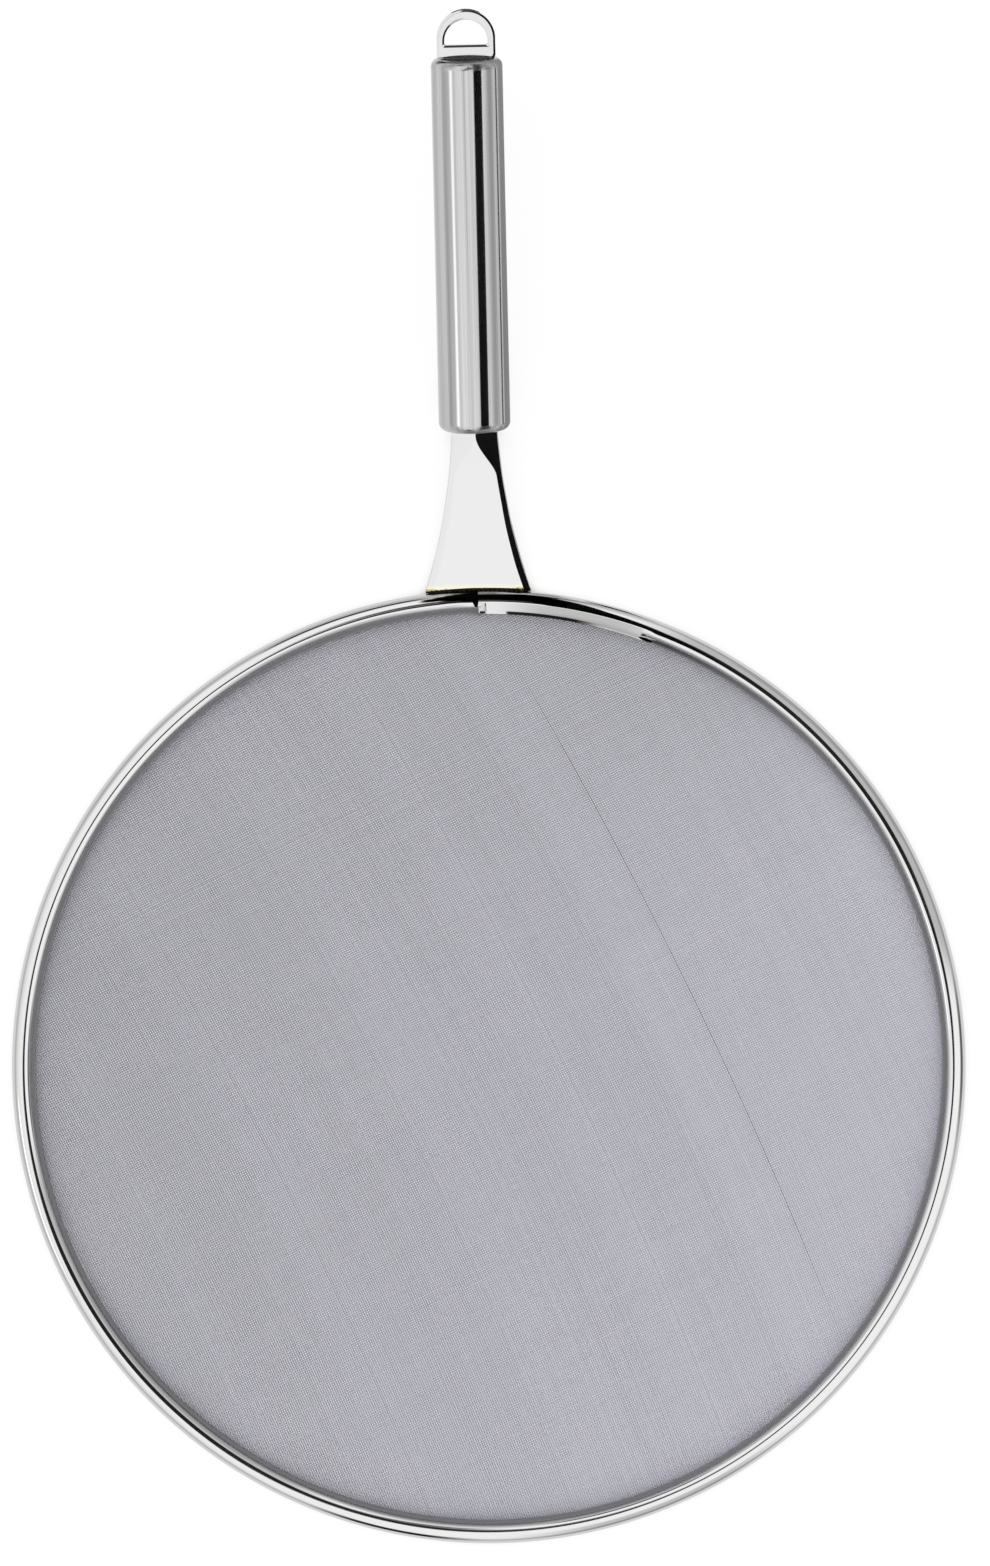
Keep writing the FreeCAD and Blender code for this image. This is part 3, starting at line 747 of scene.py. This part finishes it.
def patchy_metal(name, patch_mm, detail, stops, roughness):
    """Bare metal whose colour changes from patch to patch."""
    material, tree, shader = new_material(name)
    where = add_node(tree, "TexCoord").outputs["Object"]
    patches = add_node(tree, "TexNoise", inputs={
        "Vector": where, "Scale": 1 / (patch_mm * MM), "Detail": detail})
    colours = add_node(tree, "ValToRGB", inputs={"Fac": patches})
    set_stops(colours, stops)
    feed(tree, shader, {"Base Color": colours, "Metallic": 1.0, "Roughness": roughness})
    return material


# Browns of the heat, darkened nearly to black as painted shade in the corner.
BROWNS_AND_SHADE = [(0.3, "0D0B09"), (0.6, "2A241A"), (0.85, "6A6046")]
weld_metal_and_shade = patchy_metal(
    "weld_metal_browned_and_shaded", patch_mm=2.0, detail=4.0, stops=BROWNS_AND_SHADE, roughness=0.28)
dress(weld, weld_metal_and_shade, "weld_bead", "neck_weld")

# %% [markdown]
# ## The handle tube and its end caps
#
# The handle is a drawn steel tube, closed at both ends by a pressed cap with a round shoulder. All
# three are turned shapes, so a profile is carried round the handle's axis. A cylinder with a bevel
# would look alike, but the profile also gives the tube its wall and the caps the spigots that hold
# them.

# %% Turn the tube and the caps
TUBE_WALL = 0.8
SPIGOT = 8.0
FIT = 0.1
TURN_COUNT = 192
TUBE_POINTS = 60
AXIS = 0.01  # a turned profile starts this far from the axis, so that no edge has zero length


def turned(name, profile):
    """A piece from a closed profile of radius and distance, carried round the handle's axis."""
    turn = np.linspace(0, 2 * math.pi, TURN_COUNT, endpoint=False)[:, None]
    radius, along = profile.T
    rows = np.broadcast_arrays(radius * np.sin(turn), along, radius * np.cos(turn))
    return skin(name, np.stack(rows, axis=-1), wrap_rows=True, matrix=HANDLE_FRAME)


def cap_profile(end, way):
    """A cap whose face lies at end. Way is 1 on the front cap, and -1 on the rear one."""
    flat = TUBE_RADIUS - SHOULDER
    inner = TUBE_RADIUS - TUBE_WALL - FIT
    corner = [
        line((AXIS, 0), (flat, 0), 10),
        arc((flat, SHOULDER), (SHOULDER, SHOULDER), -90, 0, 24),
        [(inner, SHOULDER), (inner, SHOULDER + SPIGOT), (AXIS, SHOULDER + SPIGOT)],
    ]
    return np.concatenate(corner) * (1, way) + (0, end)


tube_start = NECK_LENGTH + SHOULDER
tube_end = HANDLE_END - SHOULDER
inside = TUBE_RADIUS - TUBE_WALL
tube_profile = np.concatenate([
    line((TUBE_RADIUS, tube_start), (TUBE_RADIUS, tube_end), TUBE_POINTS),
    line((TUBE_RADIUS, tube_end), (inside, tube_end), 1),
    line((inside, tube_end), (inside, tube_start), TUBE_POINTS),
    line((inside, tube_start), (TUBE_RADIUS, tube_start), 1),
])
tube = turned("handle_tube_drawn", tube_profile)
front_cap = turned("handle_cap_front", cap_profile(NECK_LENGTH, 1))
rear_cap = turned("handle_cap_rear", cap_profile(HANDLE_END, -1))

# %% [markdown]
# ## Satin stainless steel
#
# The tube is stainless steel drawn lengthwise through an abrasive belt. Its fine lines run along the
# handle, so a reflection stays sharp along them and is broken into thin stripes across them. A noise
# that is stretched along the handle gives the lines: it changes the tone a little, the roughness
# more, and the height by a trace. Real lines are about 0.05 mm wide and are drawn about ten times as
# wide, so that they show. The caps are pressed from the same steel, and their round shoulders are a
# little duller.

# %% Satin stainless steel
STREAK_WIDTH_MM = 0.5
STREAK_LENGTH_MM = 90.0
STREAK_DEPTH_MM, STREAK_STRENGTH = 0.03, 0.10
BROAD_STREAKS = 0.22  # a second set of streaks, wider by one over this
SATIN_GREYS = [(0.0, "9E9E9E"), (0.5, "B4B4B4"), (1.0, "C7C7C7")]


def satin_stainless(name, sharpest, dullest):
    """Belt-ground stainless steel with lines along the handle, between two roughnesses."""
    material, tree, shader = new_material(name)
    where = add_node(tree, "TexCoord").outputs["Object"]
    across, along = 1 / (STREAK_WIDTH_MM * MM), 1 / (STREAK_LENGTH_MM * MM)
    stretch = add_node(tree, "Mapping", {"vector_type": "POINT"}, {
        "Vector": where, "Scale": (across, along, across)})
    streaks = add_node(tree, "TexNoise", inputs={"Vector": stretch, "Scale": 1.0, "Detail": 4.0})
    broad = add_node(tree, "TexNoise", inputs={
        "Vector": stretch, "Scale": BROAD_STREAKS, "Detail": 2.0})
    mixed = add_node(tree, "Math", {"operation": "ADD"}, {0: streaks, 1: broad})
    share = add_node(tree, "MapRange", inputs={"Value": mixed, "From Min": 0.6, "From Max": 1.4})
    tone = add_node(tree, "ValToRGB", inputs={"Fac": share})
    set_stops(tone, SATIN_GREYS)
    blur = add_node(tree, "MapRange", inputs={"Value": share, "To Min": sharpest, "To Max": dullest})
    bump = add_node(tree, "Bump", inputs={
        "Height": streaks, "Strength": STREAK_STRENGTH, "Distance": STREAK_DEPTH_MM * MM})
    feed(tree, shader, {
        "Base Color": tone, "Metallic": 1.0, "Roughness": blur, "Normal": bump})
    return material


satin_steel = satin_stainless("satin_stainless_drawn", sharpest=0.07, dullest=0.14)
cap_steel = satin_stainless("satin_stainless_pressed", sharpest=0.20, dullest=0.28)
dress(tube, satin_steel, "satin_steel", "handle_tube")
dress(front_cap, cap_steel, "satin_steel", "handle_front_cap")
dress(rear_cap, cap_steel, "satin_steel", "handle_rear_cap")

# %% [markdown]
# ## The hanging eye
#
# The eye is a flat plate with a round end and a D-shaped hole, its edges eased by a shallow bevel. A
# 2D curve with a hole in it can be filled and bevelled, but its bevel is round, and this one has to
# be a slanted facet that catches a line of light or dark all the way round. So each outline is seen
# from one point inside the hole, and the plate is a skin from the hole's wall over the front, round
# the outer edge and back.

# %% The eye's outlines
EYE_HEIGHT = 14.2
EYE_THICKNESS = 2.6
HOLE_HALF_WIDTH = 6.35
HOLE_BASE = 3.8
HOLE_TOP = 11.3
EYE_CORNER, HOLE_CORNER = 1.5, 0.7
EYE_TUCK = 0.6  # the plate starts a little way inside the cap
EYE_COUNT = 720
FAR_OFF, HALVINGS = 40.0, 40  # an outline is found between the middle and here, by halving
EYE_MIDDLE = 6.8  # the point inside the hole, this far from the handle's end
eye_turn = np.linspace(0, 2 * math.pi, EYE_COUNT, endpoint=False)


def distance_to(half_width, base, top, corner, grow):
    """How far a D-shaped outline lies from the middle, in each direction. Grow moves it outwards."""
    radius = half_width + grow
    arc_middle = top - half_width
    low = base - grow
    near, far = np.zeros(EYE_COUNT), np.full(EYE_COUNT, FAR_OFF)
    for _ in range(HALVINGS):
        middle = (near + far) / 2
        x = np.abs(middle * np.cos(eye_turn))
        y = EYE_MIDDLE + middle * np.sin(eye_turn)
        past_corner = np.maximum(x - radius + corner, 0), np.maximum(low + corner - y, 0)
        in_corner = np.hypot(*past_corner) <= corner
        in_arc = np.hypot(x, np.maximum(y - arc_middle, 0)) <= radius
        inside_now = in_corner & in_arc
        near = np.where(inside_now, middle, near)
        far = np.where(inside_now, far, middle)
    return near


def eye_ring(distances, height):
    """An outline of the eye as points in the handle's frame."""
    x = distances * np.cos(eye_turn)
    y = HANDLE_END + EYE_MIDDLE + distances * np.sin(eye_turn)
    return np.stack([x, y, np.full(EYE_COUNT, height)], axis=-1)


outer_shape = (EYE_RADIUS, -EYE_TUCK, EYE_HEIGHT, EYE_CORNER)
hole_shape = (HOLE_HALF_WIDTH, HOLE_BASE, HOLE_TOP, HOLE_CORNER)
print(f"eye {2 * EYE_RADIUS:.1f} mm wide, with a hole of {2 * HOLE_HALF_WIDTH:.1f} mm")

# %% The eye's plate
EYE_BEVEL = 0.62
EYE_SLOPE = math.tan(math.radians(16))
EYE_EDGE = 0.06  # rings this close to the bevel's edges keep them crisp
half_plate = EYE_THICKNESS / 2


def bevel_rings(shape, inwards):
    """Rings from the flat face over the bevel to the wall. Inwards is -1 on the hole, or else 1."""
    rings = []
    for width in (EYE_BEVEL + EYE_EDGE, EYE_BEVEL, EYE_BEVEL - EYE_EDGE, 2 * EYE_EDGE, EYE_EDGE):
        drop = max(EYE_BEVEL - width, 0) * EYE_SLOPE
        rings.append((distance_to(*shape, -inwards * width), half_plate - drop))
    wall = distance_to(*shape, 0)
    return rings + [(wall, half_plate - EYE_BEVEL * EYE_SLOPE - EYE_EDGE), (wall, 0)]


half_rings = bevel_rings(hole_shape, -1)[::-1] + bevel_rings(outer_shape, 1)
back_rings = [(distances, -height) for distances, height in half_rings[-2:0:-1]]
eye_points = np.array([eye_ring(*ring) for ring in half_rings + back_rings])
eye = skin("hanging_eye_plate", eye_points, wrap_rows=True, matrix=HANDLE_FRAME)
dress(eye, eye_steel, "polished_steel", "hanging_eye")

# %% [markdown]
# ## The pieces out of sight
#
# The core wire inside the rim and the two beads inside the handle are never seen. They keep their CAD
# meshes, and get a plain mill finish, so that nothing is left without a material.

# %% Plain steel for the hidden pieces
MILL_GREYS = [(0.3, "85837F"), (0.7, "A8A6A2")]
plain_steel = patchy_metal(
    "mill_finish_steel", patch_mm=4, detail=5.0, stops=MILL_GREYS, roughness=0.42)
for node in ("rim_core_wire", "tang_weld", "eye_weld"):
    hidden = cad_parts[node]
    hidden.data.materials.clear()
    hidden.data.materials.append(plain_steel)
print("mill finish on the core wire and the two inner beads")

# %% [markdown]
# ## The room
#
# A mirror shows its room, so the room is what makes polished steel look real. This one is a white
# studio, painted on the world by direction. Lamps with shapes could do it too, but a painted world
# stays put whatever the camera does. A few angles say where a direction points: sideways or
# lengthways from straight up, round the compass, down from the zenith, and along or across the arm
# that carries the camera overhead.

# %% Directions in the room
ARM_COMPASS = 40.0
world = bpy.data.worlds.new("white_studio")
bpy.context.scene.world = world
world.use_nodes = True
tree = world.node_tree
tree.nodes.clear()
direction = add_node(tree, "TexCoord").outputs["Generated"]
way = add_node(tree, "SeparateXYZ", inputs={0: direction}).outputs
turned_way = add_node(tree, "VectorRotate", {"rotation_type": "Z_AXIS"}, {
    "Vector": direction, "Angle": math.radians(-ARM_COMPASS)})
arm_way = add_node(tree, "SeparateXYZ", inputs={0: turned_way}).outputs
pairs = {
    "sideways": (way["X"], way["Z"]),
    "lengthways": (way["Y"], way["Z"]),
    "compass": (way["Y"], way["X"]),
    "along arm": (arm_way["X"], arm_way["Z"]),
    "across arm": (arm_way["Y"], arm_way["Z"]),
}
angles = {}
for name, (first, second) in pairs.items():
    angles[name] = add_node(tree, "Math", {"operation": "ARCTAN2"}, {0: first, 1: second})
angles["zenith"] = add_node(tree, "Math", {"operation": "ARCCOSINE"}, {0: way["Z"]})
print("angles:", list(angles))

# %% [markdown]
# ## Light and dark in the room
#
# The light changes from side to side: an even white ceiling, and dimmer walls. A bright strip light
# hangs on the left. Dark things stand out in the room, and each is a patch between two limits of two
# angles, with soft edges. Without them the steel would be plain white: the thin dark line on the
# rim's crest is the camera's arm, and the grey on its far right side is a wall. Low down, pale walls
# go all the way round.

# %% The light from side to side
LIGHTEST = 2.6
ROOM = [  # degrees from straight up, towards the right, and the light there
    (-90, 0.75), (-66, 1.00), (-46, 1.20), (-30, 1.34),
    (25, 1.40), (50, 1.38), (70, 1.05), (90, 0.80),
]
across = add_node(tree, "MapRange", inputs={
    "Value": angles["sideways"], "From Min": math.radians(-90), "From Max": math.radians(90)})
room = add_node(tree, "ValToRGB", inputs={"Fac": across})
set_stops(room, [((degrees + 90) / 180, [light / LIGHTEST] * 3 + [1.0]) for degrees, light in ROOM])
lights = [light for degrees, light in ROOM]
print(f"light from {min(lights)} to {max(lights)}")

# %% The dark patches
DARK = [  # two angles with their limits in degrees, how soft the edge is, and how dark the patch is
    ("along arm", -20, 20, "across arm", -7, 7, 1.5, 0.985),  # the camera and its arm
    ("compass", 9, 66, "zenith", 10, 80, 5.0, 0.46),  # a grey wall behind, on the right
    ("compass", 26, 58, "zenith", 51, 61, 2.5, 0.72),  # a rail on that wall
    ("compass", 66, 150, "zenith", 50, 74, 7.0, 0.30),  # the same wall, further left
    ("compass", 96, 118, "zenith", 52, 68, 3.0, 0.97),  # a dark rail on it
    ("compass", -9, 8, "zenith", 57, 82, 6.0, 0.82),  # a dark edge on the right
    ("compass", -111, -95, "zenith", 62, 92, 4.0, 0.97),  # a dark doorway in front
    ("compass", -84, -56, "zenith", 38, 95, 8.0, 0.42),  # a dimmer wall beside it
    ("sideways", -5, 13, "lengthways", 8, 20, 2.0, 0.95),  # the camera's back
    ("sideways", 1, 10, "lengthways", 18, 44, 3.0, 0.85),  # the column behind the camera
]


def between(value, low, high, soft_edge):
    """1 where an angle lies between two others in degrees, with soft edges."""
    ends = []
    for limit, start, end in ((low, 0.0, 1.0), (high, 1.0, 0.0)):
        ends.append(add_node(tree, "MapRange", {"interpolation_type": "SMOOTHSTEP"}, {
            "Value": value,
            "From Min": math.radians(limit - soft_edge),
            "From Max": math.radians(limit + soft_edge),
            "To Min": start,
            "To Max": end,
        }))
    return add_node(tree, "Math", {"operation": "MULTIPLY"}, {0: ends[0], 1: ends[1]})


def patch(first, low, high, second, near, far, soft_edge):
    """1 in the part of the room between two limits of each of two angles."""
    one_way = between(angles[first], low, high, soft_edge)
    other_way = between(angles[second], near, far, soft_edge)
    return add_node(tree, "Math", {"operation": "MULTIPLY"}, {0: one_way, 1: other_way})


darkest = 0.0
for *limits, darkness in DARK:
    dimmed = add_node(tree, "Math", {"operation": "MULTIPLY"}, {0: patch(*limits), 1: darkness})
    darkest = add_node(tree, "Math", {"operation": "MAXIMUM"}, {0: darkest, 1: dimmed})
print(len(DARK), "dark patches")

# %% The strip light and the pale walls
STRIP = ("sideways", -60, -51, "lengthways", -34, -6, 2.5, 1.2)  # as above, and the light it adds
LOW_WALLS, LOW_WALLS_FROM, LOW_WALLS_SOFT = 0.72, 69, 12
UNDERFOOT = 200  # past straight down
*limits, added = STRIP
ceiling = add_node(tree, "Math", {"operation": "MULTIPLY_ADD"}, {
    0: patch(*limits), 1: added / LIGHTEST, 2: room})
low_down = between(angles["zenith"], LOW_WALLS_FROM, UNDERFOOT, LOW_WALLS_SOFT)
walls = add_node(tree, "Mix", inputs={
    "Factor": low_down, "A": ceiling, "B": LOW_WALLS / LIGHTEST})
lit = add_node(tree, "Math", {"operation": "SUBTRACT"}, {0: 1.0, 1: darkest})
shaded = add_node(tree, "Math", {"operation": "MULTIPLY"}, {0: walls, 1: lit})
studio = add_node(tree, "Background", inputs={"Color": shaded, "Strength": LIGHTEST})
add_node(tree, "OutputWorld", inputs={"Surface": studio})
print("world painted with", len(tree.nodes), "nodes")

# %% [markdown]
# ## Flags
#
# Photographers hold cards, called flags, near polished metal to draw crisp dark lines on it. A black
# one hangs over the right of the handle and goes on past its end: it makes the black stripe along the
# tube, the black bevel of the neck and the black wedge on the rim next to it. A narrow black one low
# on the right draws the thin line by the tube's edge, and a grey one beside that dims the edge
# itself. One more lies behind the end of the handle, and darkens the shoulder under the eye. Only
# reflections see them, and they cast no shadow.

# %% The flags round the handle
FLAGS = {  # the card's colour, and rows in the handle's frame: left, right, distance, height
    "flag_over_handle": ("0A0A0A", [
        (17, 78, -22, 50), (17, 49, 40, 50), (17, 49, 157, 50),
        (20, 59, 211, 50), (30, 86, 282, 50), (80, 230, 700, 50)]),
    "flag_low_line": ("0A0A0A", [(33, 48, 5, -3), (54, 80, 52, -10), (54, 80, 300, -10)]),
    "flag_low_edge": ("BCBCBC", [(10, 25, 5, -3), (12, 40, 52, -10), (12, 40, 300, -10)]),
    "flag_behind_end": ("0A0A0A", [(-40, 40, 172, -20), (-40, 40, 300, -20)]),
}
for name, (colour, rows) in FLAGS.items():
    corners = [[(left, along, up), (right, along, up)] for left, right, along, up in rows]
    mesh = mesh_of(name, corners, grid_faces(len(rows), 2, False, False))
    flag = into_scene(name, mesh, HANDLE_FRAME)
    card, tree, shader = new_material("velvet_card_" + colour)
    feed(tree, shader, {"Base Color": linear(colour), "Roughness": 1.0, "Specular IOR Level": 0.0})
    flag.data.materials.append(card)
    flag.visible_camera = False
    flag.visible_diffuse = False
    flag.visible_shadow = False
print("flags:", list(FLAGS))

# %% [markdown]
# ## The floor
#
# The screen lies on a plain white floor. A diffuse white floor would come out grey wherever the light
# is soft, so most of what the camera and clear reflections see there is plain white, and the rest is
# the lit floor. Where the floor is covered, close under the gauze and the rim, Ambient Occlusion
# takes the plain white back, which leaves the object's own shade.

# %% A white floor that keeps the shade
FLOOR_SIZE = 12.0
FLOOR_WHITE, GLOW = 0.85, 1.05  # the share of plain white, and how bright it is
SHADE_REACH_MM = 12.0
COVERED, OPEN = 0.20, 0.56  # what Ambient Occlusion says where the shade is full, and where it ends
bpy.ops.mesh.primitive_plane_add(size=FLOOR_SIZE, location=(0, 0, 0))
floor = bpy.context.object
floor.name = "floor"
floor_paint, tree, shader = new_material("matt_white_floor_paint")
feed(tree, shader, {"Base Color": linear("F2F2F2"), "Roughness": 0.9})
glow = add_node(tree, "Emission", inputs={"Color": (1, 1, 1, 1), "Strength": GLOW})
light_path = add_node(tree, "LightPath")
straight = add_node(tree, "Math", {"operation": "MAXIMUM"}, {
    0: light_path.outputs["Is Camera Ray"], 1: light_path.outputs["Is Glossy Ray"]})
clear = add_node(tree, "Math", {"operation": "MAXIMUM"}, {
    0: straight, 1: light_path.outputs["Is Transmission Ray"]})
open_sky = add_node(tree, "AmbientOcclusion", {"samples": 8}, {"Distance": SHADE_REACH_MM * MM})
uncovered = add_node(tree, "MapRange", inputs={
    "Value": open_sky.outputs["AO"], "From Min": COVERED, "From Max": OPEN, "To Max": FLOOR_WHITE})
glow_share = add_node(tree, "Math", {"operation": "MULTIPLY"}, {0: clear, 1: uncovered})
surface = add_node(tree, "MixShader", inputs={0: glow_share, 1: shader, 2: glow})
feed(tree, tree.nodes["Material Output"], {"Surface": surface})
floor.data.materials.append(floor_paint)
print(f"floor {FLOOR_SIZE:.0f} m wide")

# %% [markdown]
# ## The camera
#
# The picture looks straight down. The rim is a circle in it, and that circle fixes the camera: its
# radius gives the scale, and its middle gives the place. The camera stands well back, because the
# handle rises towards it and yet is hardly larger. The handle leans a little to the left in the
# picture, so the camera is rolled by that much.

# %% Place the camera over the circle
PICTURE_WIDTH, PICTURE_HEIGHT = 990, 1566
CIRCLE_MIDDLE_PX = (488.8, 1066.5)
CIRCLE_RADIUS_PX = 476.9
CAMERA_DISTANCE = 5.0
CAMERA_ROLL = math.radians(-1.27)
SENSOR_MM = 36.0

metres_per_pixel = RIM_RADIUS * MM / CIRCLE_RADIUS_PX
right_of_middle = (PICTURE_WIDTH / 2 - CIRCLE_MIDDLE_PX[0]) * metres_per_pixel
above_middle = (CIRCLE_MIDDLE_PX[1] - PICTURE_HEIGHT / 2) * metres_per_pixel
roll = Matrix.Rotation(CAMERA_ROLL, 4, "Z")
camera_data = bpy.data.cameras.new("camera")
camera_data.sensor_fit = "VERTICAL"
camera_data.sensor_height = SENSOR_MM
camera_data.lens = SENSOR_MM * CAMERA_DISTANCE / (PICTURE_HEIGHT * metres_per_pixel)
camera_place = (right_of_middle, above_middle, RIM_MIDDLE * MM + CAMERA_DISTANCE)
camera = into_scene("camera", camera_data, roll @ Matrix.Translation(camera_place))
bpy.context.scene.camera = camera
bpy.context.scene.view_settings.view_transform = "Standard"
print(f"{metres_per_pixel / MM:.4f} mm per pixel, lens {camera_data.lens:.0f} mm")
